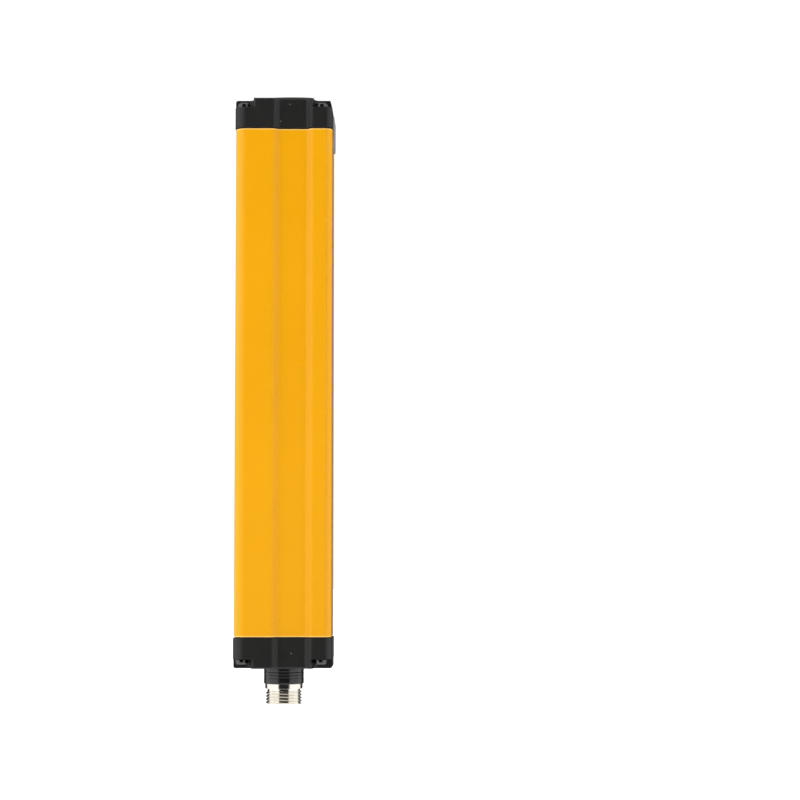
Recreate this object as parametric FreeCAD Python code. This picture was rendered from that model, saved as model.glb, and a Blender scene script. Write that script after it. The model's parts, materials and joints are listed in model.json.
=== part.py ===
import FreeCAD
import Part
import math
import os

# Receiver bar of a safety light curtain, in millimetres.
# +X is the way the window looks, -X the back, Y runs flank to flank, +Z up.
# The origin lies on the connector's axis, on the underside of the bottom cap.

# Driving dimensions: the extruded housing.
profile_length = 165.65
profile_depth = 31.6
profile_width = 27.0
back_radius = 3.6
front_radius = 2.5
channel_back = 11.8
channel_blend = 3.1
channel_floor = 7.8
channel_sink = 1.4
flank_wall = 1.6
lip_line_back = 1.75
lip_line_radius = 0.22

# Slot for square nuts along the back.
slot_mouth = 5.2
slot_lip = 1.6
slot_inner = 8.6
slot_sink = 4.9
slot_web = 1.6

# Window rebate at the front.
window_thickness = 1.2
window_width = 22.1
window_opening = 18.8
lip_thickness = 0.9
throat_width = 16.2
throat_length = 3.9
seal_width = 1.0
seal_thickness = 0.55
seal_inset = 0.35

# End caps and their gaskets.
cap_height = 9.85
cap_proud = 0.25
cap_end_wall = 2.2
cap_wall = 2.0
cap_edge_radius = 0.7
gasket_thickness = 0.35
gasket_inset = 0.45
spigot_length = 3.0
spigot_wall = 1.2
pocket_height = 3.1
pocket_corner = 2.2
pocket_mouth_back = 0.8
pocket_mouth_front = 2.4
head_room_back = 1.1
head_room_front = 0.25
head_room_inner = 0.3
crown_height = 6.0
crown_sink = 1.0
pad_x = 2.5
pad_length = 12.5
pad_width = 22.2
pad_bow = 0.6
pad_rise = 0.6
pad_edge = 0.3

# Cap screws.
screw_radius = 1.0
screw_length = 12.0
screw_head_radius = 2.2
screw_head_height = 1.7
screw_from_flank = 3.1
screw_from_back = 2.6
screw_from_front = 3.5
port_radius = 1.05

# Plug connector under the bottom cap.
collar_radius = 6.55
collar_height = 5.3
shoulder_radius = 6.15
shoulder_height = 1.6
relief_radius = 5.45
relief_height = 0.7
thread_radius = 6.0
thread_length = 4.25
thread_chamfer = 0.45
stem_radius = 5.2
socket_radius = 4.7
insert_radius = 4.5
insert_face = 4.5
insert_top = 4.6
nut_across = 14.0
nut_height = 2.2
pin_count = 8
pin_radius = 0.4
pin_circle_radius = 2.75
pin_short = 1.4
key_width = 0.9
key_height = 0.5
o_ring_section = 0.45
o_ring_radius = 5.75

# Blanking plug in the raised pad of the top cap.
plug_radius = 4.9
plug_height = 0.8
plug_edge = 0.3
plug_stem_radius = 3.2
plug_ring_radius = 4.0
plug_nut_across = 10.0

# Optics: one lens for each beam.
beam_count = 8
beam_pitch = 20.0
lens_radius = 4.4
lens_rim = 1.1
lens_crown = 1.0
well_width = 5.6
carrier_width = 15.6
carrier_front_gap = 1.0
diode_size = 2.6
diode_height = 1.1

# Circuit boards.
board_thickness = 1.4
board_rail = 0.7
beam_board_x = 2.4
main_board_x = -5.0
tongue_width = 12.0
connector_board_radius = 5.9
connector_board_thickness = 1.0
link_width = 8.0
link_height = 5.0

# Status lights behind the front of the top cap.
indicator_height = 10.0
indicator_below_cap = 5.35
indicator_width = 18.4
indicator_proud = 0.3
light_count = 3
light_pitch = 3.8
light_radius = 1.3
light_web = 0.8
led_size = 1.6
led_height = 0.9

# Clearances between parts that fit together.
fit = 0.05
slide = 0.1
loose = 0.2

# Places that follow from the sizes above.
back_x = -profile_depth / 2
front_x = profile_depth / 2
half_width = profile_width / 2
joint_low = cap_height
profile_low = joint_low + gasket_thickness
profile_high = profile_low + profile_length
joint_high = profile_high + gasket_thickness
cap_top = joint_high + cap_height
pad_top = cap_top + pad_rise
chamber_back = back_x + slot_sink + slot_web
lip_back = front_x - lip_thickness
window_front = lip_back - fit
window_back = window_front - window_thickness
throat_back = window_back - throat_length
chamber_half = half_width - channel_sink - flank_wall
throat_half = throat_width / 2
opening_half = window_opening / 2
window_half = window_width / 2
beam_board_front = beam_board_x + board_thickness
main_board_front = main_board_x + board_thickness
board_half = chamber_half + board_rail - slide
tongue_half = tongue_width / 2
board_low = profile_low + spigot_length + loose
board_high = profile_high - spigot_length - loose
middle_z = (profile_low + profile_high) / 2
pocket_back = back_x + screw_from_back + screw_head_radius + head_room_back
pocket_front = front_x - screw_from_front - screw_head_radius - head_room_front
pocket_inner = half_width - screw_from_flank - screw_head_radius - head_room_inner
shelf_low = pocket_height
shelf_high = cap_top - pocket_height
indicator_low = joint_high - indicator_below_cap
indicator_high = indicator_low + indicator_height
light_z = (joint_high + indicator_high) / 2
connector_board_low = insert_top + 0.6
connector_board_high = connector_board_low + connector_board_thickness


def vec(x, y, z=0.0):
    return FreeCAD.Vector(x, y, z)


def box(x0, x1, y0, y1, z0, z1):
    return Part.makeBox(x1 - x0, y1 - y0, z1 - z0, vec(x0, y0, z0))


def rod_z(radius, z0, z1, x=0.0, y=0.0):
    return Part.makeCylinder(radius, z1 - z0, vec(x, y, z0))


def rod_x(radius, x0, x1, y, z):
    return Part.makeCylinder(radius, x1 - x0, vec(x0, y, z), vec(1, 0, 0))


def turned(points, x=0.0, y=0.0):
    """Solid of revolution about Z from (radius, z) corners."""
    loop = [vec(radius, 0, z) for radius, z in points]
    face = Part.Face(Part.makePolygon(loop + [loop[0]]))
    solid = face.revolve(vec(0, 0, 0), vec(0, 0, 1), 360)
    solid.translate(vec(x, y, 0))
    return solid


def blend(start, end):
    """Two equal tangent arcs that leave and arrive along X."""
    width = end.x - start.x
    rise = end.y - start.y
    radius = (width * width + rise * rise) / (4 * abs(rise))
    turn = math.asin(abs(width) / 2 / radius) / 2
    step_x = math.copysign(radius * math.sin(turn), width)
    step_y = math.copysign(radius * (1 - math.cos(turn)), rise)
    middle = (start + end) * 0.5
    first = Part.Arc(start, vec(start.x + step_x, start.y + step_y), middle)
    second = Part.Arc(middle, vec(end.x - step_x, end.y - step_y), end)
    return [first.toShape(), second.toShape()]


def corner(start, end, centre):
    """Quarter round between two points of a circle."""
    radius = start.distanceToPoint(centre)
    middle = (start + end) * 0.5 - centre
    middle.Length = radius
    return Part.Arc(start, centre + middle, end).toShape()


def flank_edges():
    """Outline of the +Y half, from the back's middle to the front's middle."""
    channel_start = back_x + channel_back
    floor_start = channel_start + channel_blend
    floor_end = floor_start + channel_floor
    channel_end = floor_end + channel_blend
    floor_y = half_width - channel_sink
    edges = [Part.makeLine(vec(back_x, 0), vec(back_x, half_width - back_radius))]
    edges.append(corner(vec(back_x, half_width - back_radius),
                        vec(back_x + back_radius, half_width),
                        vec(back_x + back_radius, half_width - back_radius)))
    edges.append(Part.makeLine(vec(back_x + back_radius, half_width), vec(channel_start, half_width)))
    edges += blend(vec(channel_start, half_width), vec(floor_start, floor_y))
    edges.append(Part.makeLine(vec(floor_start, floor_y), vec(floor_end, floor_y)))
    edges += blend(vec(floor_end, floor_y), vec(channel_end, half_width))
    edges.append(Part.makeLine(vec(channel_end, half_width), vec(front_x - front_radius, half_width)))
    edges.append(corner(vec(front_x - front_radius, half_width),
                        vec(front_x, half_width - front_radius),
                        vec(front_x - front_radius, half_width - front_radius)))
    edges.append(Part.makeLine(vec(front_x, half_width - front_radius), vec(front_x, 0)))
    return edges


def outline_prism(grow, z0, z1):
    """Bar of the housing's outer outline, grown all round by an offset."""
    half = flank_edges()
    other = [edge.mirror(vec(0, 0, 0), vec(0, 1, 0)) for edge in half]
    wire = Part.Wire(Part.__sortEdges__(half + other))
    if grow:
        wire = wire.makeOffset2D(grow)
    prism = Part.Face(wire).extrude(vec(0, 0, z1 - z0))
    prism.translate(vec(0, 0, z0))
    return prism


def screw_places():
    """Axes of the four cap screws."""
    side = half_width - screw_from_flank
    back = back_x + screw_from_back
    front = front_x - screw_from_front
    return [(x, y) for x in (back, front) for y in (-side, side)]


def screw_bores(radius, z0, z1):
    return [rod_z(radius, z0, z1, x, y) for x, y in screw_places()]


def slot_cutter(z0, z1, clearance=0.0):
    """T-slot along the back."""
    mouth = slot_mouth / 2 + clearance
    inner = slot_inner / 2 + clearance
    open_x = back_x - 1
    web_x = back_x + slot_sink + clearance
    neck = box(open_x, web_x, -mouth, mouth, z0, z1)
    head = box(back_x + slot_lip - clearance, web_x, -inner, inner, z0, z1)
    return neck.fuse(head).removeSplitter()


def chamber_prism(inset, z0, z1, front):
    """Room behind the window: wide where the boards run, narrower between the screw ports."""
    wide = box(chamber_back + inset, throat_back - inset,
               inset - chamber_half, chamber_half - inset, z0, z1)
    throat = box(chamber_back + inset, front,
                 inset - throat_half, throat_half - inset, z0, z1)
    return wide.fuse(throat).removeSplitter()


def housing_profile():
    low = profile_low
    high = profile_high
    body = outline_prism(0, low, high)
    cutters = [chamber_prism(0, low, high, window_back)]
    cutters.append(box(window_back, lip_back, -window_half - fit, window_half + fit, low, high))
    cutters.append(box(lip_back, front_x + 1, -opening_half, opening_half, low, high))
    cutters.append(slot_cutter(low, high))
    for side in (-1, 1):
        seal_y = side * (throat_half + seal_inset + seal_width / 2)
        cutters.append(box(window_back - seal_thickness, window_back,
                           seal_y - seal_width / 2, seal_y + seal_width / 2, low, high))
        cutters.append(rod_z(lip_line_radius, low, high,
                             front_x - lip_line_back, side * half_width))
    for board_x in (beam_board_x, main_board_x):
        reach = chamber_half + board_rail
        cutters.append(box(board_x - slide, board_x + board_thickness + slide,
                           -reach, reach, low, high))
    cutters += screw_bores(port_radius, low, high)
    return body.cut(cutters)


def front_window():
    return box(window_back, window_front, -window_half, window_half, profile_low, profile_high)


def window_seal(side):
    middle = side * (throat_half + seal_inset + seal_width / 2)
    return box(window_back - seal_thickness, window_back,
               middle - seal_width / 2 + fit, middle + seal_width / 2 - fit,
               profile_low, profile_high)


def pocket_cutters(z0, z1):
    """Open corner pockets, rounded beside the screw heads, that leave the heads reachable."""
    reach = cap_proud + 1
    cutters = []
    for x, y in screw_places():
        side = math.copysign(1, y)
        inner = pocket_inner * side
        outer = (half_width + reach) * side
        edge, end = (pocket_back, back_x - reach) if x < 0 else (pocket_front, front_x + reach)
        pocket = box(min(edge, end), max(edge, end), min(inner, outer), max(inner, outer), z0, z1)
        corner_edge = [line for line in pocket.Edges
                       if abs(line.CenterOfMass.x - edge) < 1e-6
                       and abs(line.CenterOfMass.y - inner) < 1e-6]
        cutters.append(pocket.makeFillet(pocket_corner, corner_edge))
        cutters.append(mouth_cutter(x, edge, side, outer, z0, z1))
    return cutters


def mouth_cutter(x, edge, side, outer, z0, z1):
    """Rounding of the upright edge where a pocket opens on the flank."""
    radius, turn = (pocket_mouth_back, 1) if x < 0 else (pocket_mouth_front, -1)
    centre_x = edge + radius * turn
    centre_y = (half_width + cap_proud - radius) * side
    block = box(min(edge, centre_x), max(edge, centre_x),
                min(centre_y, outer), max(centre_y, outer), z0, z1)
    return block.cut(rod_z(radius, z0 - 1, z1 + 1, centre_x, centre_y))


def cap_room(z0, z1):
    """Cross-shaped hollow between the four screw bosses."""
    back_edge = pocket_back + cap_wall
    front_edge = pocket_front - cap_wall
    side = half_width - channel_sink - cap_wall
    inner = pocket_inner - cap_wall
    across = box(back_edge, front_edge, -side, side, z0, z1)
    along = box(chamber_back + spigot_wall, front_x - cap_wall - lip_thickness,
                -inner, inner, z0, z1)
    return across.fuse(along).removeSplitter()


def spigot(z0, z1):
    """Hollow collar of the cap that enters the housing."""
    front = window_back - loose
    outer = chamber_prism(loose, z0, z1, front)
    inner = chamber_prism(loose + spigot_wall, z0, z1, front - spigot_wall)
    return outer.cut(inner)


def round_end(prism, z):
    """Rounds the rim of the cap's end face."""
    rim = [edge for edge in prism.Edges
           if abs(edge.BoundBox.ZMin - z) < 1e-6 and abs(edge.BoundBox.ZMax - z) < 1e-6]
    return prism.makeFillet(cap_edge_radius, rim)


def bottom_cap():
    body = round_end(outline_prism(cap_proud, 0, joint_low), 0)
    spigot_top = profile_low + spigot_length
    cutters = pocket_cutters(-1, shelf_low)
    cutters.append(cap_room(cap_end_wall, joint_low))
    cutters.append(rod_z(stem_radius + slide, -1, cap_end_wall + 1))
    cutters.append(slot_cutter(-1, joint_low + 1, loose))
    cutters += screw_bores(screw_radius + loose, shelf_low - 1, joint_low + 1)
    body = body.cut(cutters)
    return body.fuse(spigot(joint_low, spigot_top)).removeSplitter()


def crown_cutter():
    """Bow of the front face under the cap's top edge."""
    face_x = front_x + cap_proud
    radius = (crown_height ** 2 + crown_sink ** 2) / (2 * crown_sink)
    axis = vec(face_x - radius, -profile_width, cap_top - crown_height)
    keep = Part.makeCylinder(radius, 2 * profile_width, axis, vec(0, 1, 0))
    block = box(face_x - 2 * crown_sink, face_x + 1, -profile_width, profile_width,
                cap_top - crown_height, cap_top + 1)
    return block.cut(keep)


def top_pad():
    """Raised pad between the flanks, with bowed ends."""
    back = pad_x - pad_length / 2
    front = pad_x + pad_length / 2
    end = pad_width / 2
    side = end - pad_bow
    outline = Part.Wire([Part.makeLine(vec(back, -side), vec(back, side)),
                         Part.Arc(vec(back, side), vec(pad_x, end), vec(front, side)).toShape(),
                         Part.makeLine(vec(front, side), vec(front, -side)),
                         Part.Arc(vec(front, -side), vec(pad_x, -end), vec(back, -side)).toShape()])
    pad = Part.Face(outline).extrude(vec(0, 0, pad_rise + cap_end_wall / 2))
    pad.translate(vec(0, 0, cap_top - cap_end_wall / 2))
    rim = [edge for edge in pad.Edges if edge.BoundBox.ZMin > pad_top - 1e-6]
    return pad.makeChamfer(pad_edge, rim)


def top_cap():
    body = round_end(outline_prism(cap_proud, joint_high, cap_top), cap_top)
    cutters = pocket_cutters(shelf_high, cap_top + 1)
    cutters.append(crown_cutter())
    cutters.append(cap_room(joint_high, cap_top - cap_end_wall))
    cutters.append(rod_z(plug_stem_radius + slide, cap_top - cap_end_wall - 1, pad_top + 1, pad_x))
    cutters.append(slot_cutter(joint_high - 1, cap_top + 1, loose))
    cutters += screw_bores(screw_radius + loose, joint_high - 1, shelf_high + 1)
    half = indicator_width / 2 + slide
    cutters.append(box(window_front, front_x + 1, -half, half,
                       joint_high - 1, indicator_high + slide))
    for y in light_places():
        cutters.append(rod_x(light_radius + slide, window_front - 4, window_front + 1, y, light_z))
    body = body.fuse(top_pad()).cut(cutters)
    return body.fuse(spigot(profile_high - spigot_length, joint_high)).removeSplitter()


def gasket(z0):
    """Flat seal between a cap and the cut end of the housing."""
    z1 = z0 + gasket_thickness
    plate = outline_prism(-gasket_inset, z0, z1)
    cutters = [chamber_prism(-slide, z0, z1, window_back - slide)]
    cutters.append(slot_cutter(z0, z1, gasket_inset))
    cutters.append(box(lip_back - slide, front_x, -opening_half - slide, opening_half + slide, z0, z1))
    cutters += screw_bores(screw_radius + loose, z0, z1)
    return plate.cut(cutters)


def cap_screw(x, y, shelf, inward):
    """Screw whose head stands on a shelf and whose shank points inward."""
    screw = turned([(0, -screw_length), (screw_radius, -screw_length), (screw_radius, 0),
                    (screw_head_radius, 0), (screw_head_radius, screw_head_height),
                    (0, screw_head_height)])
    if inward > 0:
        screw.rotate(vec(0, 0, 0), vec(1, 0, 0), 180)
    screw.translate(vec(x, y, shelf))
    return screw


def cap_screws(shelf, inward):
    return Part.makeCompound([cap_screw(x, y, shelf, inward) for x, y in screw_places()])


def hex_nut(z0, across, stem, x=0.0):
    """Thin nut on a connector stem or a plug stem."""
    corner_radius = across / math.sqrt(3)
    corners = [vec(x + corner_radius * math.cos(math.radians(60 * step)),
                   corner_radius * math.sin(math.radians(60 * step)), z0) for step in range(6)]
    prism = Part.Face(Part.makePolygon(corners + [corners[0]])).extrude(vec(0, 0, nut_height))
    return prism.cut(rod_z(stem + fit, z0 - 1, z0 + nut_height + 1, x))


def o_ring(radius, z0, z1, x=0.0, clearance=0.0):
    """Seal ring squeezed flat between two faces, or the groove for it."""
    half = o_ring_section + clearance
    return turned([(radius - half, z0), (radius + half, z0),
                   (radius + half, z1), (radius - half, z1)], x)


def connector_collar():
    body = rod_z(collar_radius, -collar_height, 0)
    bore = rod_z(stem_radius + slide, -collar_height - 1, 1)
    return body.cut([bore, o_ring(o_ring_radius, -2 * o_ring_section, 1, 0.0, fit)])


def connector_shell():
    """Plated plug shell: stem, shoulder, relief groove and threaded end in one turning."""
    shoulder_low = -collar_height - shoulder_height
    thread_top = shoulder_low - relief_height
    thread_low = thread_top - thread_length
    stem_top = cap_end_wall + nut_height + 0.2
    outside = turned([(0, stem_top), (stem_radius, stem_top), (stem_radius, -collar_height),
                      (shoulder_radius, -collar_height), (shoulder_radius, shoulder_low),
                      (relief_radius, shoulder_low), (relief_radius, thread_top),
                      (thread_radius, thread_top), (thread_radius, thread_low + thread_chamfer),
                      (thread_radius - thread_chamfer, thread_low), (0, thread_low)])
    socket = rod_z(socket_radius, thread_low - 1, -insert_face)
    bore = rod_z(insert_radius + fit, -insert_face - 1, stem_top + 1)
    return outside.cut([socket, bore])


def connector_insert():
    """Insulator with its coding key standing in the socket."""
    body = rod_z(insert_radius, -insert_face, insert_top)
    key_low = -collar_height - shoulder_height - relief_height - thread_length + pin_short
    key = box(insert_radius - key_height, insert_radius, -key_width / 2, key_width / 2,
              key_low, -insert_face)
    body = body.fuse(key).removeSplitter()
    return body.cut([rod_z(pin_radius, key_low - 1, insert_top + 1, x, y) for x, y in pin_places()])


def pin_places():
    ring = pin_count - 1
    places = [(0.0, 0.0)]
    for step in range(ring):
        turn = 2 * math.pi * (step + 0.5) / ring
        places.append((pin_circle_radius * math.cos(turn), pin_circle_radius * math.sin(turn)))
    return places


def contact_pins():
    low = -collar_height - shoulder_height - relief_height - thread_length + pin_short
    return Part.makeCompound([rod_z(pin_radius, low, connector_board_low, x, y)
                              for x, y in pin_places()])


def connector_board():
    return rod_z(connector_board_radius, connector_board_low, connector_board_high)


def top_plug():
    stem_low = cap_top - cap_end_wall - nut_height - 0.2
    high = pad_top + plug_height
    body = turned([(0, stem_low), (plug_stem_radius, stem_low), (plug_stem_radius, pad_top),
                   (plug_radius, pad_top), (plug_radius, high - plug_edge),
                   (plug_radius - plug_edge, high), (0, high)], pad_x)
    groove = o_ring(plug_ring_radius, pad_top - 1, pad_top + o_ring_section, pad_x, fit)
    return body.cut(groove)


def main_board():
    """Logic board with a tongue down to the connector board."""
    wide = box(main_board_x, main_board_front, -board_half, board_half, board_low, board_high)
    tongue = box(main_board_x, main_board_front, -tongue_half, tongue_half,
                 connector_board_high, board_low)
    return wide.fuse(tongue).removeSplitter()


def beam_board():
    """Optics board with a tongue up to the status lights."""
    wide = box(beam_board_x, beam_board_front, -board_half, board_half, board_low, board_high)
    tongue = box(beam_board_x, beam_board_front, -tongue_half, tongue_half,
                 board_high, light_z + led_size)
    return wide.fuse(tongue).removeSplitter()


def beam_heights():
    first = middle_z - beam_pitch * (beam_count - 1) / 2
    return [first + beam_pitch * step for step in range(beam_count)]


def lens_carrier():
    """Black bar with one square light well and one round lens seat for each beam."""
    front = window_back - carrier_front_gap
    half = carrier_width / 2
    well = well_width / 2
    body = box(beam_board_front, front, -half, half, board_low, board_high)
    seat_x = front - lens_rim - lens_crown
    wells = []
    for z in beam_heights():
        wells.append(box(beam_board_front, seat_x, -well, well, z - well, z + well))
        wells.append(rod_x(lens_radius + fit, seat_x, front + 1, 0, z))
    return body.cut(wells)


def lenses():
    """Plano-convex lenses, flat side toward the diode."""
    seat_x = window_back - carrier_front_gap - lens_rim - lens_crown
    radius = (lens_radius ** 2 + lens_crown ** 2) / (2 * lens_crown)
    rim_x = seat_x + lens_rim
    solids = []
    for z in beam_heights():
        dome = Part.makeSphere(radius, vec(rim_x + lens_crown - radius, 0, z))
        barrel = rod_x(lens_radius, seat_x, rim_x + lens_crown + 1, 0, z)
        solids.append(barrel.common(dome))
    return Part.makeCompound(solids)


def photodiodes():
    half = diode_size / 2
    return Part.makeCompound([box(beam_board_front, beam_board_front + diode_height,
                                  -half, half, z - half, z + half) for z in beam_heights()])


def board_link():
    """Header that joins the two boards."""
    half = link_width / 2
    return box(main_board_front, beam_board_x, -half, half,
               middle_z - link_height / 2, middle_z + link_height / 2)


def processors():
    """Two logic chips that check each other."""
    size = 7.0
    height = 1.2
    solids = []
    for side in (-1, 1):
        z = middle_z + side * beam_pitch
        solids.append(box(main_board_front, main_board_front + height,
                          -size / 2, size / 2, z - size / 2, z + size / 2))
    return Part.makeCompound(solids)


def supply_capacitors():
    """Upright can capacitors beside the supply input."""
    radius = 2.0
    height = 4.6
    solids = []
    for step in range(3):
        z = board_low + 8.0 + 6.0 * step
        solids.append(rod_x(radius, main_board_front, main_board_front + height, 0, z))
    return Part.makeCompound(solids)


def light_places():
    first = -light_pitch * (light_count - 1) / 2
    return [first + light_pitch * step for step in range(light_count)]


def indicator_leds():
    half = led_size / 2
    return Part.makeCompound([box(beam_board_front, beam_board_front + led_height,
                                  y - half, y + half, light_z - half, light_z + half)
                              for y in light_places()])


def light_guide():
    """Clear rods on one web, from the status lights to the front."""
    start = beam_board_front + led_height + slide
    rods = [rod_x(light_radius, start, window_front, y, light_z) for y in light_places()]
    web = box(start + 1, start + 3, light_places()[0], light_places()[-1],
              light_z - light_web / 2, light_z + light_web / 2)
    return web.fuse(rods).removeSplitter()


def indicator_window():
    """Clear cover over the status lights, from the cap down over the window's end."""
    half = indicator_width / 2
    front = front_x + cap_proud + indicator_proud
    plate = box(window_front, front, -half, half, indicator_low, indicator_high)
    rim = [edge for edge in plate.Edges if abs(edge.BoundBox.XMin - front) < 1e-6]
    return plate.makeFillet(0.25, rim)


def save(name, shape):
    shape.exportStep("parts/" + name + ".step")


os.makedirs("parts", exist_ok=True)
save("housing_profile", housing_profile())
save("front_window", front_window())
save("window_seal_left", window_seal(-1))
save("window_seal_right", window_seal(1))
save("bottom_cap", bottom_cap())
save("top_cap", top_cap())
save("bottom_gasket", gasket(joint_low))
save("top_gasket", gasket(profile_high))
save("bottom_cap_screws", cap_screws(shelf_low, 1))
save("top_cap_screws", cap_screws(shelf_high, -1))
save("connector_collar", connector_collar())
save("connector_o_ring", o_ring(o_ring_radius, -2 * o_ring_section, 0))
save("connector_shell", connector_shell())
save("connector_nut", hex_nut(cap_end_wall, nut_across, stem_radius))
save("connector_insert", connector_insert())
save("contact_pins", contact_pins())
save("connector_board", connector_board())
save("top_plug", top_plug())
save("top_plug_o_ring", o_ring(plug_ring_radius, pad_top, pad_top + o_ring_section, pad_x))
save("top_plug_nut", hex_nut(cap_top - cap_end_wall - nut_height, plug_nut_across,
                             plug_stem_radius, pad_x))
save("main_board", main_board())
save("beam_board", beam_board())
save("lens_carrier", lens_carrier())
save("lenses", lenses())
save("photodiodes", photodiodes())
save("board_link", board_link())
save("processors", processors())
save("supply_capacitors", supply_capacitors())
save("indicator_leds", indicator_leds())
save("light_guide", light_guide())
save("indicator_window", indicator_window())
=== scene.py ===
import json
import math

import bmesh
import bpy
from mathutils import Matrix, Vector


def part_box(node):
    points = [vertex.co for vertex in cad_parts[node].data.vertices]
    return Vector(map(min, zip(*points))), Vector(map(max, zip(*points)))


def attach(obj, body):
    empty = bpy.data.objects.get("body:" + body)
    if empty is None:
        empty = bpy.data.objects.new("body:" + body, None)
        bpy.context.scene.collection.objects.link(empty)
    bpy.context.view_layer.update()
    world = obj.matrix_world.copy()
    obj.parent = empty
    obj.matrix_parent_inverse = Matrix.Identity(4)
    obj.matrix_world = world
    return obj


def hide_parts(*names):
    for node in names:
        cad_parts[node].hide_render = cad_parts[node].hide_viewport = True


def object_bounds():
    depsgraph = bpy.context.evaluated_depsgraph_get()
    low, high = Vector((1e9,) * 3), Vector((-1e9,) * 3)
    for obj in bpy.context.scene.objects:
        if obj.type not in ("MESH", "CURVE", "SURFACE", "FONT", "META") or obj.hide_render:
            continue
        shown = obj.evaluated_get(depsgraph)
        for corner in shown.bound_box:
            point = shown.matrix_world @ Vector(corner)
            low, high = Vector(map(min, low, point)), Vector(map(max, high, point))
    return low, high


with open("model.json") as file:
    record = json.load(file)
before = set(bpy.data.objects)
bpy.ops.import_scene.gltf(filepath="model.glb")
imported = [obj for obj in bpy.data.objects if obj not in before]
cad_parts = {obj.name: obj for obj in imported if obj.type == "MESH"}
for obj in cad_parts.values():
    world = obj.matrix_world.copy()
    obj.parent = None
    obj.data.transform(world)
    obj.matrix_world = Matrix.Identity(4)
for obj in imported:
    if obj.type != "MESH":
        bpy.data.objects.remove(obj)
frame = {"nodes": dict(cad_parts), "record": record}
cadLow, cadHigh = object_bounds()
nodes = frame["nodes"]
scene = bpy.context.scene
print("frame:", len(nodes), "nodes")


# small helpers for node trees
def wire(tree, socket, value):
    if isinstance(value, bpy.types.NodeSocket):
        tree.links.new(value, socket)
    else:
        socket.default_value = value


def addNode(tree, kind, settings=None, **sockets):
    node = tree.nodes.new("ShaderNode" + kind)
    for key, value in (settings or {}).items():
        setattr(node, key, value)
    for key, value in sockets.items():
        wire(tree, node.inputs[key.replace("_", " ")], value)
    return node


def reckon(tree, operation, *values):
    node = tree.nodes.new("ShaderNodeMath")
    node.operation = operation
    for socket, value in zip(node.inputs, values):
        wire(tree, socket, value)
    return node.outputs[0]


def blendColors(tree, amount, first, second, mode="MIX"):
    node = tree.nodes.new("ShaderNodeMix")
    node.data_type = "RGBA"
    node.blend_type = mode
    wire(tree, node.inputs[0], amount)
    wire(tree, node.inputs[6], first)
    wire(tree, node.inputs[7], second)
    return node.outputs[2]


def spread(tree, value, low, high, toLow=0.0, toHigh=1.0, soft=True):
    settings = {"interpolation_type": "SMOOTHSTEP" if soft else "LINEAR"}
    node = addNode(tree, "MapRange", settings, Value=value, From_Min=low, From_Max=high,
                   To_Min=toLow, To_Max=toHigh)
    return node.outputs["Result"]


# camera, floor and light tent, with places in metres
cameraView = {
    "lens": 102.45,  # mm, on a 36 mm sensor
    "side": 0.0380,
    "distance": 0.750,
    "height": 0.0348,
    "tiltUp": 4.035,
}

tent = {
    "glow": 1.10,
    "backdrop": 1.05,
    "roofFrom": 0.72,  # height on the unit sphere where the roof panel starts
    "roofFull": 0.90,
    "tableFrom": -0.35,  # depth on the unit sphere where the white table starts
    "tableFull": -0.60,
    # azimuth in degrees from the camera's side, brightness there
    "wall": [(-180, 0.6), (-130, 1.0), (-110, 2.4), (-38, 2.4), (-30, 0.03), (30, 0.03),
             (38, 1.65), (100, 1.3), (140, 0.6), (180, 0.6)],
    # the same for what glossy parts mirror, with dark drapes at the back
    "polish": [(-180, 0.30), (-171, 0.30), (-166, 0.05), (-124, 0.05), (-118, 1.0), (-35, 1.1),
               (-27, 0.015), (33, 0.015), (41, 1.0), (120, 1.0), (126, 0.05), (166, 0.05),
               (171, 0.30), (180, 0.30)],
    "floorHalf": 3.0,
    "floorGlow": 0.55,
    "floorColor": (0.9, 0.9, 0.9, 1.0),
    "floorRough": 0.7,
}

white = (1.0, 1.0, 1.0, 1.0)


def addCamera(view):
    data = bpy.data.cameras.new("studioCamera")
    data.lens = view["lens"]
    data.sensor_width = 36.0
    data.clip_start = 0.01
    data.clip_end = 50.0
    camera = bpy.data.objects.new("studioCamera", data)
    scene.collection.objects.link(camera)
    camera.location = (view["side"], -view["distance"], view["height"])
    camera.rotation_euler = (math.radians(90.0 + view["tiltUp"]), 0.0, 0.0)
    scene.camera = camera


def addTent(room):
    world = bpy.data.worlds.new("lightTent")
    scene.world = world
    world.use_nodes = True
    tree = world.node_tree
    tree.nodes.clear()
    outward = addNode(tree, "TexCoord").outputs["Generated"]
    parts = addNode(tree, "SeparateXYZ", Vector=outward).outputs
    azimuth = reckon(tree, "ARCTAN2", parts["X"], reckon(tree, "MULTIPLY", parts["Y"], -1.0))
    along = spread(tree, azimuth, -math.pi, math.pi, soft=False)
    panels = []
    for stopList in (room["wall"], room["polish"]):
        ramp = addNode(tree, "ValToRGB", Fac=along)
        stops = ramp.color_ramp.elements
        while len(stops) < len(stopList):
            stops.new(0.5)
        for stop, (angle, level) in zip(stops, stopList):
            stop.position = (angle + 180) / 360
            stop.color = (level, level, level, 1.0)
        panels.append(ramp.outputs["Color"])
    roof = spread(tree, parts["Z"], room["roofFrom"], room["roofFull"])
    table = spread(tree, parts["Z"], room["tableFull"], room["tableFrom"], 1.0, 0.0)
    path = addNode(tree, "LightPath").outputs
    wall = blendColors(tree, path["Is Glossy Ray"], panels[0], panels[1])
    wall = blendColors(tree, reckon(tree, "MAXIMUM", roof, table), wall, white)
    soft = addNode(tree, "Background", Color=wall, Strength=room["glow"])
    seen = addNode(tree, "Background", Color=white, Strength=room["backdrop"])
    mix = addNode(tree, "MixShader", Fac=path["Is Camera Ray"])
    tree.links.new(soft.outputs[0], mix.inputs[1])
    tree.links.new(seen.outputs[0], mix.inputs[2])
    output = addNode(tree, "OutputWorld")
    tree.links.new(mix.outputs[0], output.inputs["Surface"])


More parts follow.
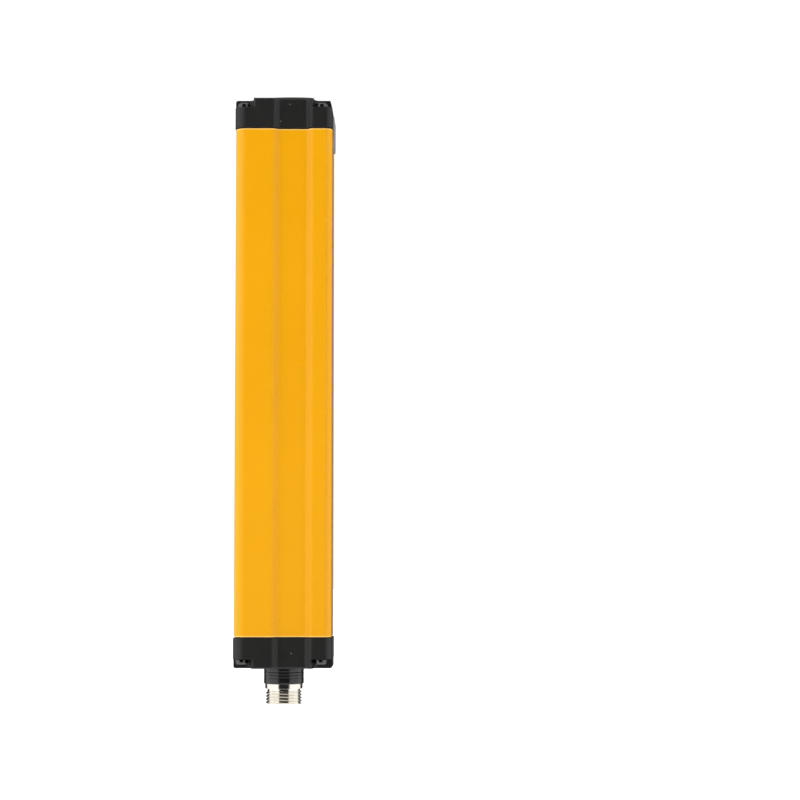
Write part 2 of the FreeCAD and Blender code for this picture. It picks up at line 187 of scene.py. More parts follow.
def addFloor(room):
    mesh = bpy.data.meshes.new("studioFloor")
    shape = bmesh.new()
    bmesh.ops.create_grid(shape, x_segments=1, y_segments=1, size=room["floorHalf"])
    bmesh.ops.translate(shape, vec=(0.0, 0.0, cadLow.z), verts=shape.verts)
    shape.to_mesh(mesh)
    shape.free()
    floor = bpy.data.objects.new("studioFloor", mesh)
    scene.collection.objects.link(floor)
    material = bpy.data.materials.new("lightTable")
    material.use_nodes = True
    tree = material.node_tree
    shader = tree.nodes["Principled BSDF"]
    shader.inputs["Base Color"].default_value = room["floorColor"]
    shader.inputs["Roughness"].default_value = room["floorRough"]
    shader.inputs["Emission Color"].default_value = white
    shader.inputs["Emission Strength"].default_value = room["floorGlow"]
    underneath = addNode(tree, "NewGeometry").outputs["Backfacing"]  # clear from below
    mix = addNode(tree, "MixShader", Fac=underneath)
    tree.links.new(shader.outputs[0], mix.inputs[1])
    tree.links.new(addNode(tree, "BsdfTransparent").outputs[0], mix.inputs[2])
    tree.links.new(mix.outputs[0], tree.nodes["Material Output"].inputs["Surface"])
    mesh.materials.append(material)
    floor.visible_glossy = False  # polished parts mirror the tent, not the table top


addCamera(cameraView)
addTent(tent)
addFloor(tent)
scene.view_settings.view_transform = "Standard"
print("studio: camera, floor and light tent")


# effects that several finishes share
def newGroup(name, takes, gives):
    group = bpy.data.node_groups.new(name, "ShaderNodeTree")
    for label, kind, value in takes:
        socket = group.interface.new_socket(label, in_out="INPUT", socket_type="NodeSocket" + kind)
        socket.default_value = value
    for label, kind in gives:
        group.interface.new_socket(label, in_out="OUTPUT", socket_type="NodeSocket" + kind)
    start = group.nodes.new("NodeGroupInput").outputs
    end = group.nodes.new("NodeGroupOutput").inputs
    return group, start, end


def buildSoftEdge():
    group, start, end = newGroup("softEdge",
                                 [("Reach", "Float", 0.0002), ("Break Up", "Float", 900.0)],
                                 [("Mask", "Float"), ("Normal", "Vector")])
    rounded = addNode(group, "Bevel", {"samples": 6}, Radius=start["Reach"]).outputs["Normal"]
    flat = addNode(group, "NewGeometry").outputs["Normal"]
    dot = addNode(group, "VectorMath", {"operation": "DOT_PRODUCT"})
    group.links.new(rounded, dot.inputs[0])
    group.links.new(flat, dot.inputs[1])
    # Mask marks where the surface bends round an edge; finishes lay a paler colour there, partly edge
    # wear and partly a painted highlight
    bend = spread(group, reckon(group, "SUBTRACT", 1.0, dot.outputs["Value"]), 0.01, 0.25)
    place = addNode(group, "TexCoord").outputs["Object"]
    patches = addNode(group, "TexNoise", Vector=place, Scale=start["Break Up"], Detail=3.0)
    broken = spread(group, patches.outputs["Fac"], 0.30, 0.60, 0.35, 1.0)
    wire(group, end["Mask"], reckon(group, "MULTIPLY", bend, broken))
    wire(group, end["Normal"], rounded)
    return group


def buildGrain():
    group, start, end = newGroup("mouldGrain",
                                 [("Scale", "Float", 5000.0), ("Stretch", "Vector", (1.0, 1.0, 1.0))],
                                 [("Height", "Float"), ("Mask", "Float")])
    place = addNode(group, "TexCoord").outputs["Object"]
    aimed = addNode(group, "Mapping", Vector=place, Scale=start["Stretch"])
    fine = addNode(group, "TexNoise", Vector=aimed.outputs[0], Scale=start["Scale"], Detail=2.0)
    cells = addNode(group, "TexVoronoi", {"feature": "SMOOTH_F1"}, Vector=aimed.outputs[0],
                    Scale=reckon(group, "MULTIPLY", start["Scale"], 0.6))
    mixed = reckon(group, "MULTIPLY_ADD", cells.outputs["Distance"], 0.5, fine.outputs["Fac"])
    wire(group, end["Height"], mixed)
    wire(group, end["Mask"], spread(group, mixed, 0.55, 0.95))
    return group


def buildDrift():
    group, start, end = newGroup("slowDrift",
                                 [("Color", "Color", (0.5, 0.5, 0.5, 1.0)),
                                  ("Second", "Color", (0.4, 0.4, 0.4, 1.0)),
                                  ("Scale", "Float", 30.0), ("Rough Low", "Float", 0.3),
                                  ("Rough High", "Float", 0.4)],
                                 [("Color", "Color"), ("Roughness", "Float")])
    place = addNode(group, "TexCoord").outputs["Object"]
    cloud = addNode(group, "TexNoise", Vector=place, Scale=start["Scale"], Detail=4.0)
    amount = spread(group, cloud.outputs["Fac"], 0.3, 0.7)
    wire(group, end["Color"], blendColors(group, amount, start["Color"], start["Second"]))
    smears = addNode(group, "TexNoise", Vector=place, Detail=5.0,
                     Scale=reckon(group, "MULTIPLY", start["Scale"], 7.0))
    rough = addNode(group, "MapRange", Value=smears.outputs["Fac"], From_Min=0.3, From_Max=0.7,
                    To_Min=start["Rough Low"], To_Max=start["Rough High"])
    wire(group, end["Roughness"], rough.outputs["Result"])
    return group


def buildLint():
    group, start, end = newGroup("strayLint", [("Scale", "Float", 330.0), ("Size", "Float", 0.05)],
                                 [("Mask", "Float")])
    place = addNode(group, "TexCoord").outputs["Object"]
    cells = addNode(group, "TexVoronoi", Vector=place, Scale=start["Scale"])
    fleck = reckon(group, "LESS_THAN", cells.outputs["Distance"], start["Size"])
    chosen = addNode(group, "SeparateXYZ", Vector=cells.outputs["Color"]).outputs["X"]
    wire(group, end["Mask"], reckon(group, "MULTIPLY", fleck, spread(group, chosen, 0.3, 0.9)))
    return group


def buildDust():
    group, start, end = newGroup("settledDust", [("Amount", "Float", 0.3)], [("Mask", "Float")])
    parts = addNode(group, "SeparateXYZ", Vector=addNode(group, "NewGeometry").outputs["Normal"])
    upward = spread(group, parts.outputs["Z"], 0.35, 0.95)
    place = addNode(group, "TexCoord").outputs["Object"]
    film = addNode(group, "TexNoise", Vector=place, Scale=55.0, Detail=4.0)
    specks = addNode(group, "TexNoise", Vector=place, Scale=5200.0, Detail=3.0)
    flecks = reckon(group, "MULTIPLY", spread(group, film.outputs["Fac"], 0.25, 0.75, 0.25, 1.0),
                    spread(group, specks.outputs["Fac"], 0.40, 0.75, 0.15, 1.0))
    wire(group, end["Mask"], reckon(group, "MULTIPLY", start["Amount"],
                                    reckon(group, "MULTIPLY", upward, flecks)))
    return group


groups = {"edge": buildSoftEdge(), "grain": buildGrain(), "drift": buildDrift(), "dust": buildDust(),
          "lint": buildLint()}


def useGroup(tree, key, **sockets):
    node = tree.nodes.new("ShaderNodeGroup")
    node.node_tree = groups[key]
    for label, value in sockets.items():
        wire(tree, node.inputs[label.replace("_", " ")], value)
    return node.outputs


housingLow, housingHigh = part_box("housing_profile")

# color drifts towards second, rough is a range, grain and drift are scales, depth and reach in metres;
# edge is a paler colour laid on rounded edges, partly rubbed wear and partly a painted highlight, and
# the colour for the sawn ends is a painted highlight
finishes = {
    "yellowPaint": dict(color=(0.752, 0.340, 0.0022), second=(0.728, 0.326, 0.0020), drift=22.0,
                        rough=(0.27, 0.33), grain=1300.0, depth=0.000004, edge=(0.93, 0.66, 0.22),
                        reach=0.00028, edgeWearHighlightStrength=0.75, dust=0.10, shine=0.20,
                        ends=(housingLow.z, housingHigh.z, 0.00050), endHighlight=(0.93, 0.60, 0.16)),
    "capPlastic": dict(color=(0.0115, 0.0112, 0.0107), second=(0.0135, 0.0131, 0.0126), drift=60.0,
                       rough=(0.36, 0.44), grain=7000.0, depth=0.000006, edge=(0.05, 0.05, 0.05),
                       reach=0.0003, edgeWearHighlightStrength=0.35, dust=0.10, shine=0.34, lint=0.05),
    "collarPlastic": dict(color=(0.008, 0.008, 0.0083), second=(0.011, 0.011, 0.0115), drift=90.0,
                          rough=(0.14, 0.19), grain=2600.0, depth=0.000003, edge=(0.06, 0.06, 0.06),
                          reach=0.0002, edgeWearHighlightStrength=0.3, dust=0.07, shine=0.62,
                          stretch=(0.12, 0.12, 1.0)),
    "carrierPlastic": dict(color=(0.010, 0.010, 0.010), second=(0.014, 0.014, 0.014), drift=70.0,
                           rough=(0.55, 0.7), grain=6000.0, depth=0.000005),
    "insertPlastic": dict(color=(0.012, 0.012, 0.013), second=(0.018, 0.018, 0.018), drift=120.0,
                          rough=(0.35, 0.5), grain=6000.0, depth=0.000004),
    "sealRubber": dict(color=(0.010, 0.010, 0.010), second=(0.018, 0.018, 0.017), drift=150.0,
                       rough=(0.6, 0.8), grain=5000.0, depth=0.000006, dust=0.12),
    "screwSteel": dict(color=(0.085, 0.085, 0.088), second=(0.12, 0.118, 0.115), drift=200.0,
                       rough=(0.16, 0.26), metal=1.0, grain=4000.0, depth=0.000003,
                       edge=(0.55, 0.54, 0.52), reach=0.00015, edgeWearHighlightStrength=0.6),
    "nickelPlating": dict(color=(0.93, 0.90, 0.83), second=(0.87, 0.83, 0.75), drift=160.0,
                          rough=(0.10, 0.17), metal=1.0, grain=3000.0, depth=0.000002,
                          stretch=(0.1, 0.1, 1.0)),
    "goldContacts": dict(color=(0.86, 0.62, 0.22), second=(0.78, 0.54, 0.18), drift=300.0,
                         rough=(0.15, 0.25), metal=1.0, grain=4000.0, depth=0.000002),
    "boardLaminate": dict(color=(0.008, 0.10, 0.035), second=(0.012, 0.13, 0.05), drift=60.0,
                          rough=(0.25, 0.4), grain=2500.0, depth=0.000004),
    "diodeResin": dict(color=(0.02, 0.015, 0.03), second=(0.03, 0.02, 0.035), drift=200.0,
                       rough=(0.08, 0.15), grain=3000.0, depth=0.000001),
    "chipResin": dict(color=(0.014, 0.014, 0.015), second=(0.020, 0.020, 0.020), drift=200.0,
                      rough=(0.5, 0.6), grain=8000.0, depth=0.000006),
    "capacitorCan": dict(color=(0.72, 0.72, 0.74), second=(0.66, 0.66, 0.68), drift=150.0,
                         rough=(0.3, 0.4), metal=1.0, grain=3000.0, depth=0.000003),
    "ledResin": dict(color=(0.80, 0.80, 0.74), second=(0.72, 0.72, 0.64), drift=200.0,
                     rough=(0.15, 0.3), grain=3000.0, depth=0.000002),
}

clearFinishes = {
    "windowTint": dict(color=(0.16, 0.006, 0.010), roughness=0.04, transmission=0.75, shine=0.36),
    "clearPlastic": dict(color=(0.86, 0.88, 0.90), roughness=0.05, transmission=0.9),
    "indicatorCover": dict(color=(0.30, 0.285, 0.29), roughness=0.16, transmission=0.30),
}

# lint and dust are real dirt; the sawn-end entry sets a painted highlight
dirtAndEndHighlight = {
    "lintColor": (0.36, 0.35, 0.33, 1.0),
    "dustColor": (0.42, 0.40, 0.37, 1.0),
    "dustRough": 0.5,  # how much rougher a dusty spot gets
    "paintedEndAmount": 0.7,  # how strongly the painted highlight along the sawn ends shows
}


def makeFinish(name, look):
    material = bpy.data.materials.new(name)
    material.use_nodes = True
    tree = material.node_tree
    shader = tree.nodes["Principled BSDF"]
    drift = useGroup(tree, "drift", Color=(*look["color"], 1.0), Second=(*look["second"], 1.0),
                     Scale=look["drift"], Rough_Low=look["rough"][0], Rough_High=look["rough"][1])
    color = drift["Color"]
    rough = drift["Roughness"]
    bump = addNode(tree, "Bump", Strength=1.0, Distance=look["depth"])
    grain = useGroup(tree, "grain", Scale=look["grain"], Stretch=look.get("stretch", (1.0, 1.0, 1.0)))
    wire(tree, bump.inputs["Height"], grain["Height"])
    if "edge" in look:
        # painted highlight mixed with edge wear: a paler colour laid on the rounded edges, where they
        # would catch the light
        edge = useGroup(tree, "edge", Reach=look["reach"])
        wornAndHighlitEdge = reckon(tree, "MULTIPLY", edge["Mask"], look["edgeWearHighlightStrength"])
        color = blendColors(tree, wornAndHighlitEdge, color, (*look["edge"], 1.0))
        wire(tree, bump.inputs["Normal"], edge["Normal"])
    if "ends" in look:  # painted highlight: a pale yellow band along both sawn ends of the housing
        low, high, deep = look["ends"]
        height = addNode(tree, "SeparateXYZ", Vector=addNode(tree, "TexCoord").outputs["Object"])
        upper = spread(tree, height.outputs["Z"], high - deep, high - deep * 0.5)
        lower = spread(tree, height.outputs["Z"], low + deep * 0.5, low + deep, 1.0, 0.0)
        endHighlight = reckon(tree, "MULTIPLY", reckon(tree, "MAXIMUM", upper, lower), dirtAndEndHighlight["paintedEndAmount"])
        color = blendColors(tree, endHighlight, color, (*look["endHighlight"], 1.0))
    if "lint" in look:
        lint = useGroup(tree, "lint", Size=look["lint"])
        color = blendColors(tree, lint["Mask"], color, dirtAndEndHighlight["lintColor"])
    if "dust" in look:
        dust = useGroup(tree, "dust", Amount=look["dust"])
        color = blendColors(tree, dust["Mask"], color, dirtAndEndHighlight["dustColor"])
        rough = reckon(tree, "MULTIPLY_ADD", dust["Mask"], dirtAndEndHighlight["dustRough"], rough)
    wire(tree, shader.inputs["Base Color"], color)
    wire(tree, shader.inputs["Roughness"], rough)
    wire(tree, shader.inputs["Normal"], bump.outputs["Normal"])
    shader.inputs["Metallic"].default_value = look.get("metal", 0.0)
    shader.inputs["Specular IOR Level"].default_value = look.get("shine", 0.5)
    return material


def makeClear(name, color, roughness, transmission, ior=1.49, shine=0.5):
    material = bpy.data.materials.new(name)
    material.use_nodes = True
    tree = material.node_tree
    shader = tree.nodes["Principled BSDF"]
    drift = useGroup(tree, "drift", Color=(*color, 1.0), Second=(*[part * 0.88 for part in color], 1.0),
                     Scale=50.0, Rough_Low=roughness, Rough_High=roughness + 0.05)
    wire(tree, shader.inputs["Base Color"], drift["Color"])
    wire(tree, shader.inputs["Roughness"], drift["Roughness"])
    shader.inputs["Transmission Weight"].default_value = transmission
    shader.inputs["Specular IOR Level"].default_value = shine
    shader.inputs["IOR"].default_value = ior
    return material


made = {name: makeFinish(name, look) for name, look in finishes.items()}
made.update({name: makeClear(name, **look) for name, look in clearFinishes.items()})
print("finishes:", len(made))

slotFinish = {
    "yellow_paint": "yellowPaint", "window_tint": "windowTint", "cap_plastic": "capPlastic",
    "collar_plastic": "collarPlastic", "carrier_plastic": "carrierPlastic",
    "insert_plastic": "insertPlastic", "seal_rubber": "sealRubber", "screw_steel": "screwSteel",
    "nickel_plating": "nickelPlating", "gold_contacts": "goldContacts",
    "board_laminate": "boardLaminate", "clear_plastic": "clearPlastic",
    "diode_resin": "diodeResin", "chip_resin": "chipResin", "capacitor_can": "capacitorCan",
    "led_resin": "ledResin", "indicator_cover": "indicatorCover",
}
nodeSlot = {part["node"]: part["material_slot"] for part in frame["record"]["subparts"]}
for nodeName, held in nodes.items():
    for place in held.material_slots:
        place.material = made[slotFinish[nodeSlot[nodeName]]]
print("finishes laid on", len(nodes), "nodes")


# sizes below are in mm unless a note says otherwise
mm = 0.001
weld = 0.0012 * mm  # points this close become one
near = 0.001 * mm  # how close to a level still counts as on it
hair = 0.0001 * mm


def turnOutline(shape, outline, steps, closed=False):
    # outline is (radius, height) in mm, turned about the upright axis
    chain = [shape.verts.new((radius * mm, 0.0, height * mm)) for radius, height in outline]
    pairs = list(zip(chain, chain[1:])) + ([(chain[-1], chain[0])] if closed else [])
    lines = [shape.edges.new(pair) for pair in pairs]
    bmesh.ops.spin(shape, geom=chain + lines, cent=(0.0, 0.0, 0.0), axis=(0.0, 0.0, 1.0),
                   angle=math.tau, steps=steps, use_merge=True)
    bmesh.ops.remove_doubles(shape, verts=shape.verts, dist=weld)


def newVerts(grown):
    return [part for part in grown["geom"] if isinstance(part, bmesh.types.BMVert)]


def rimEdges(shape, height):
    return [edge for edge in shape.edges if edge.is_boundary
            and all(abs(vert.co.z - height) < near for vert in edge.verts)]


def carryRim(shape, rim, radius, height):
    # draws an open rim on to another radius and height
    fresh = set(newVerts(bmesh.ops.extrude_edge_only(shape, edges=rim)))
    for vert in fresh:
        reach = math.hypot(vert.co.x, vert.co.y)
        vert.co = (vert.co.x * radius / reach, vert.co.y * radius / reach, height)
    return [edge for edge in shape.edges if set(edge.verts) <= fresh]


def slicePlane(shape, spot, facing, clearOuter=False):
    # cuts along a plane, and can drop what lies past it
    everything = shape.verts[:] + shape.edges[:] + shape.faces[:]
    bmesh.ops.bisect_plane(shape, geom=everything, dist=hair, plane_co=spot, plane_no=facing,
                           clear_outer=clearOuter)


def stamp(shape, pattern):
    # adds a copy of a mesh and gives back its points
    before = set(shape.verts)
    shape.from_mesh(pattern)
    return [vert for vert in shape.verts if vert not in before]


def settle(name, shape, slot, stands, sharpAngle=38.0):
    bmesh.ops.remove_doubles(shape, verts=shape.verts, dist=weld)
    bmesh.ops.recalc_face_normals(shape, faces=shape.faces)
    mesh = bpy.data.meshes.new(name)
    shape.to_mesh(mesh)
    shape.free()
    mesh.shade_smooth()
    mesh.set_sharp_from_angle(angle=math.radians(sharpAngle))
    mesh.materials.append(made[slotFinish[slot]])
    piece = bpy.data.objects.new(name, mesh)
    scene.collection.objects.link(piece)
    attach(piece, "root")
    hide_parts(*stands)
    print(name, len(mesh.polygons), "faces")
    return piece


# plug shell with a rolled M12 thread
threadedShell = {
    "pitch": 1.0,
    "turns": 7,
    "stepsPerTurn": 80,
    # (radius, drop) along one pitch, root to root
    "ridge": [(5.40, 0.0), (5.42, 0.10), (5.90, 0.385), (5.985, 0.44), (6.0, 0.50), (5.985, 0.56),
              (5.90, 0.615), (5.42, 0.90), (5.40, 1.0)],
    "above": 6.35,  # where the winding starts, over the groove
    "groove": 5.36,
    "grooveHeight": 0.7,
    "shoulder": 6.15,
    "shoulderHeight": 1.6,
    "shoulderBevel": 0.10,
    "noseBevel": 0.42,
    "noseRings": [1.0, 0.7, 0.4],  # shares of the bevel where it is cut round
    "bore": 4.70,
    "boreBevel": 0.16,
    "seat": -4.5,  # height where the bore narrows above the insulator
    "neck": 4.55,
    "stem": 5.2,
    "clearance": 0.0002,  # keeps rounding inside the solid's box
}


def makeShell(look):
    low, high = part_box("connector_shell")
    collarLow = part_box("connector_collar")[0].z
    shoulderLow = collarLow - look["shoulderHeight"] * mm
    top = shoulderLow - look["grooveHeight"] * mm
    bottom = low.z + look["clearance"] * mm
    crest = max(radius for radius, drop in look["ridge"]) * mm
    shape = bmesh.new()
    chain = [shape.verts.new((radius * mm, 0.0, -(look["above"] + drop) * mm))
             for radius, drop in look["ridge"]]
    lines = [shape.edges.new(pair) for pair in zip(chain, chain[1:])]
    steps = look["turns"] * look["stepsPerTurn"]
    bmesh.ops.spin(shape, geom=chain + lines, cent=(0.0, 0.0, 0.0), axis=(0.0, 0.0, 1.0),
                   dvec=(0.0, 0.0, -look["pitch"] * mm / look["stepsPerTurn"]),
                   angle=math.tau * look["turns"], steps=steps, use_merge=False)
    bmesh.ops.remove_doubles(shape, verts=shape.verts, dist=2 * near)
    for height, facing in ((top, 1.0), (bottom, -1.0)):
        slicePlane(shape, (0.0, 0.0, height), (0.0, 0.0, facing), clearOuter=True)
    bevel = look["noseBevel"] * mm
    for part in look["noseRings"]:
        slicePlane(shape, (0.0, 0.0, bottom + bevel * part), (0.0, 0.0, 1.0))
    for vert in shape.verts:  # the crests run down to the nose
        reach = math.hypot(vert.co.x, vert.co.y)
        allowed = crest - max(0.0, bottom + bevel - vert.co.z)
        if reach > allowed:
            vert.co.x *= allowed / reach
            vert.co.y *= allowed / reach
    upper = rimEdges(shape, top)
    lower = rimEdges(shape, bottom)
    shoulder = look["shoulder"] * mm
    edge = look["shoulderBevel"] * mm
    stem = look["stem"] * mm
    for radius, height in ((look["groove"] * mm, top), (look["groove"] * mm, shoulderLow),
                           (shoulder - edge, shoulderLow), (shoulder, shoulderLow + edge),
                           (shoulder, collarLow - edge * 0.5), (shoulder - edge * 0.5, collarLow),
                           (stem, collarLow), (stem, high.z)):
        upper = carryRim(shape, upper, radius, height)
    bore = look["bore"] * mm
    lip = look["boreBevel"] * mm
    neck = look["neck"] * mm
    seat = look["seat"] * mm
    for radius, height in ((bore + lip, bottom), (bore, bottom + lip), (bore, seat),
                           (neck, seat), (neck, high.z)):
        lower = carryRim(shape, lower, radius, height)
    bmesh.ops.bridge_loops(shape, edges=upper + lower)
    return settle("plugShell", shape, "nickel_plating", ["connector_shell"])


makeShell(threadedShell)


# black sleeve over the plug, with fine grip rings
gripSleeve = {
    "rings": [1.40, 2.35, 3.30],  # mm below the cap
    "ringDepth": 0.08,
    "ringHalf": 0.20,
    "headBevel": 0.25,
    "footBevel": 0.22,
    "bore": 5.32,
    "steps": 96,
}


def makeSleeve(look):
    low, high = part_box("connector_collar")
    radius = high.x / mm
    foot = low.z / mm
    head = look["headBevel"]
    outline = [(look["bore"], 0.0), (radius - head * 0.48, 0.0), (radius - head * 0.12, -head * 0.4),
               (radius, -head)]
    for drop in look["rings"]:
        half = look["ringHalf"]
        depth = look["ringDepth"]
        outline += [(radius, -drop + half), (radius - depth * 0.7, -drop + half * 0.45),
                    (radius - depth, -drop), (radius - depth * 0.7, -drop - half * 0.45),
                    (radius, -drop - half)]
    bevel = look["footBevel"]
    outline += [(radius, foot + bevel * 1.6), (radius - bevel * 0.3, foot + bevel * 0.6),
                (radius - bevel, foot), (look["bore"], foot)]
    shape = bmesh.new()
    turnOutline(shape, outline, look["steps"], closed=True)
    return settle("plugSleeve", shape, "collar_plastic", ["connector_collar"], 50.0)


makeSleeve(gripSleeve)


# pan-head cap screws with a cross recess
panScrew = {
    "headRadius": 2.2,
    "headHeight": 1.7,
    "shankRadius": 1.0,
    "shankLength": 12.0,
    # (radius, height) over the head's rim, in mm
    "dome": [(1.45, 1.70), (1.72, 1.64), (1.96, 1.48), (2.12, 1.22), (2.19, 0.90), (2.2, 0.55),
             (2.2, 0.12), (2.12, 0.0)],
    "crossReach": 1.15,
    "crossHalf": 0.24,
    "crossDepth": 0.95,
    "crossTaper": 0.52,
    "steps": 40,
    "turnedBy": [14.0, 63.0, 35.0, 81.0, 52.0, 7.0, 70.0, 28.0],  # how far each was driven round
}


def sinkRecess(shape, faces, depth, taper):
    # presses a flat patch down into the piece and opens its mouth
    grown = bmesh.ops.extrude_face_region(shape, geom=faces, use_keep_orig=True)
    fresh = newVerts(grown)
    for vert in fresh:
        vert.co.x *= taper
        vert.co.y *= taper
        vert.co.z -= depth
    bmesh.ops.delete(shape, geom=faces, context="FACES_ONLY")


def makeScrewMesh(look):
    shape = bmesh.new()
    foot = -look["shankLength"]
    shank = look["shankRadius"]
    outline = look["dome"] + [(shank, 0.0), (shank, foot + 0.5), (shank * 0.5, foot), (0.0, foot)]
    turnOutline(shape, outline, look["steps"])
    top = look["headHeight"] * mm
    ring = rimEdges(shape, top)
    before = set(shape.verts)
    reach = look["crossReach"] * mm
    half = look["crossHalf"] * mm
    bmesh.ops.create_grid(shape, x_segments=3, y_segments=3, size=reach)
    cross = [vert for vert in shape.verts if vert not in before]
    for vert in cross:
        inner = [abs(vert.co[side]) < reach * 0.9 for side in (0, 1)]
        for side in (0, 1):
            if inner[side] or not inner[1 - side]:
                vert.co[side] = math.copysign(half, vert.co[side])
        vert.co.z = top
    bmesh.ops.remove_doubles(shape, verts=cross, dist=near)
    crossFaces = [face for face in shape.faces if all(abs(vert.co.z - top) < hair
                                                      and vert not in before for vert in face.verts)]
    crossRim = [edge for edge in shape.edges if edge.is_boundary
                and all(vert not in before for vert in edge.verts)]
    bmesh.ops.triangle_fill(shape, edges=ring + crossRim, normal=(0.0, 0.0, 1.0), use_beauty=True)
    sinkRecess(shape, crossFaces, look["crossDepth"] * mm, look["crossTaper"])
    bmesh.ops.remove_doubles(shape, verts=shape.verts, dist=near)
    mesh = bpy.data.meshes.new("screwPattern")
    shape.to_mesh(mesh)
    shape.free()
    return mesh


def placeScrews(name, node, shelf, down, look, firstTurn):
    low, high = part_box(node)
    pattern = makeScrewMesh(look)
    radius = look["headRadius"] * mm
    shape = bmesh.new()
    count = 0
    for x in (low.x + radius, high.x - radius):
        for y in (low.y + radius, high.y - radius):
            fresh = stamp(shape, pattern)
            driven = math.radians(look["turnedBy"][firstTurn + count])
            turning = Matrix.Translation((x, y, shelf)) @ Matrix.Rotation(driven, 4, "Z")
            if down:
                turning = turning @ Matrix.Rotation(math.pi, 4, "X")
            bmesh.ops.transform(shape, matrix=turning, verts=fresh)
            count += 1
    bpy.data.meshes.remove(pattern)
    return settle(name, shape, "screw_steel", [node])


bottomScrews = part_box("bottom_cap_screws")
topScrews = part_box("top_cap_screws")
placeScrews("bottomScrews", "bottom_cap_screws", bottomScrews[0].z + panScrew["headHeight"] * mm,
            True, panScrew, 0)
placeScrews("topScrews", "top_cap_screws", topScrews[1].z - panScrew["headHeight"] * mm,
            False, panScrew, 4)


# blanking plug on the top pad, with a coin slot
blankPlug = {
    "bevel": 0.28,
    "stem": 3.2,
    "slotReach": 3.0,
    "slotHalf": 0.55,
    "slotDepth": 0.55,
    "slotTaper": 0.92,
    "turnedBy": 24.0,
    "dish": 3.6,  # radius where the flat top starts
    "steps": 72,
}


def makePlug(look):
    low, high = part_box("top_plug")
    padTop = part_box("top_cap")[1].z / mm
    middle = (low.x + high.x) / 2
    radius = (high.x - low.x) / 2 / mm
    top = high.z / mm
    foot = low.z / mm
    bevel = look["bevel"]
    outline = [(look["dish"], top), (radius - bevel, top), (radius - bevel * 0.3, top - bevel * 0.3),
               (radius, top - bevel), (radius, padTop), (look["stem"], padTop), (look["stem"], foot),
               (0.0, foot)]
    shape = bmesh.new()
    turnOutline(shape, outline, look["steps"])
    ring = rimEdges(shape, high.z)
    before = set(shape.verts)
    bmesh.ops.create_grid(shape, x_segments=1, y_segments=1, size=look["slotReach"] * mm)
    slot = [vert for vert in shape.verts if vert not in before]
    for vert in slot:
        vert.co.y *= look["slotHalf"] / look["slotReach"]
        vert.co.z = high.z
    slotFaces = [face for face in shape.faces if set(face.verts) <= set(slot)]
    slotRim = [edge for edge in shape.edges if edge.is_boundary and set(edge.verts) <= set(slot)]
    bmesh.ops.triangle_fill(shape, edges=ring + slotRim, normal=(0.0, 0.0, 1.0), use_beauty=True)
    sinkRecess(shape, slotFaces, look["slotDepth"] * mm, look["slotTaper"])
    bmesh.ops.rotate(shape, cent=(0.0, 0.0, 0.0), verts=shape.verts,
                     matrix=Matrix.Rotation(math.radians(look["turnedBy"]), 3, "Z"))
    bmesh.ops.translate(shape, vec=(middle, 0.0, 0.0), verts=shape.verts)
    return settle("blankPlug", shape, "collar_plastic", ["top_plug"])


makePlug(blankPlug)


# plug contacts with rounded tips
contactPin = {
    "radius": 0.40,
    "tip": [(0.0, 0.0), (0.16, 0.03), (0.28, 0.11), (0.37, 0.25), (0.40, 0.42)],
    "ring": 2.75,
    "around": 7,
    "steps": 20,
}


def makePins(look):
    low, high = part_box("contact_pins")
    foot = low.z / mm
    outline = [(radius, foot + height) for radius, height in look["tip"]]
    outline += [(look["radius"], high.z / mm - 0.08), (look["radius"] - 0.08, high.z / mm),
                (0.0, high.z / mm)]
    single = bmesh.new()
    turnOutline(single, outline, look["steps"])
    pattern = bpy.data.meshes.new("pinPattern")
    single.to_mesh(pattern)
    single.free()
    shape = bmesh.new()
    places = [(0.0, 0.0)]
    for step in range(look["around"]):
        angle = math.tau * (step + 0.5) / look["around"]
        places.append((look["ring"] * mm * math.cos(angle), look["ring"] * mm * math.sin(angle)))
    for x, y in places:
        bmesh.ops.translate(shape, vec=(x, y, 0.0), verts=stamp(shape, pattern))
    bpy.data.meshes.remove(pattern)
    return settle("contactPins", shape, "gold_contacts", ["contact_pins"])


makePins(contactPin)


# window pane, stepped so that its middle comes level with the housing's lips
frontPane = {
    "raisedHalf": 9.2,
    "raise": 0.92,
    "underCover": 0.12,  # gap below the status cover
    "edge": 0.18,
}


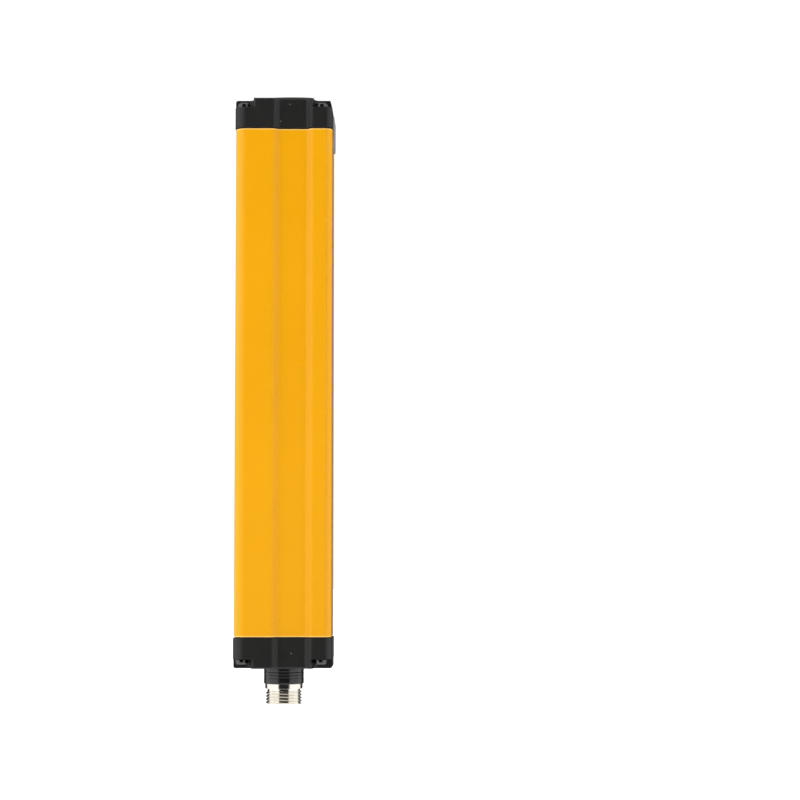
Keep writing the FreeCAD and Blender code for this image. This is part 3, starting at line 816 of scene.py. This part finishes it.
def boxShape(low, high):
    shape = bmesh.new()
    bmesh.ops.create_cube(shape, size=1.0)
    bmesh.ops.scale(shape, vec=high - low, verts=shape.verts)
    bmesh.ops.translate(shape, vec=(low + high) / 2, verts=shape.verts)
    return shape


def softenEdges(shape, edges, width, segments):
    bmesh.ops.bevel(shape, geom=edges, offset=width, offset_type="OFFSET", segments=segments,
                    profile=0.5, affect="EDGES", clamp_overlap=True, material=-1)


def makePane(look):
    low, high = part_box("front_window")
    half = look["raisedHalf"] * mm
    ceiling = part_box("indicator_window")[0].z - look["underCover"] * mm
    shape = boxShape(low, high)
    for spot, facing in (((0, half, 0), (0, 1, 0)), ((0, -half, 0), (0, 1, 0)),
                         ((0, 0, ceiling), (0, 0, 1))):
        slicePlane(shape, spot, facing)
    middle = [face for face in shape.faces
              if face.calc_center_median().x > high.x - near
              and abs(face.calc_center_median().y) < half and face.calc_center_median().z < ceiling]
    grown = bmesh.ops.extrude_face_region(shape, geom=middle)
    raised = newVerts(grown)
    bmesh.ops.delete(shape, geom=middle, context="FACES_ONLY")
    bmesh.ops.translate(shape, vec=(look["raise"] * mm, 0.0, 0.0), verts=raised)
    rim = [edge for edge in shape.edges if set(edge.verts) <= set(raised)]
    softenEdges(shape, rim, look["edge"] * mm, 3)
    return settle("frontPane", shape, "window_tint", ["front_window"])


makePane(frontPane)


# smoked cover over the status lights
statusCover = {
    "footRadius": 3.0,
    "headRadius": 1.0,
    "rim": 0.30,
}


def makeCover(look):
    low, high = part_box("indicator_window")
    shape = boxShape(low, high)
    for level, radius in ((low.z, look["footRadius"]), (high.z, look["headRadius"])):
        corners = [edge for edge in shape.edges
                   if all(abs(vert.co.z - level) < near for vert in edge.verts)
                   and abs(edge.verts[0].co.y - edge.verts[1].co.y) < near]
        softenEdges(shape, corners, radius * mm, 10)
    front = [edge for edge in shape.edges
             if all(abs(vert.co.x - high.x) < near for vert in edge.verts)
             and len(edge.link_faces) == 2 and edge.calc_face_angle(0.0) > 0.5]
    softenEdges(shape, front, look["rim"] * mm, 4)
    return settle("statusCover", shape, "indicator_cover", ["indicator_window"])


makeCover(statusCover)
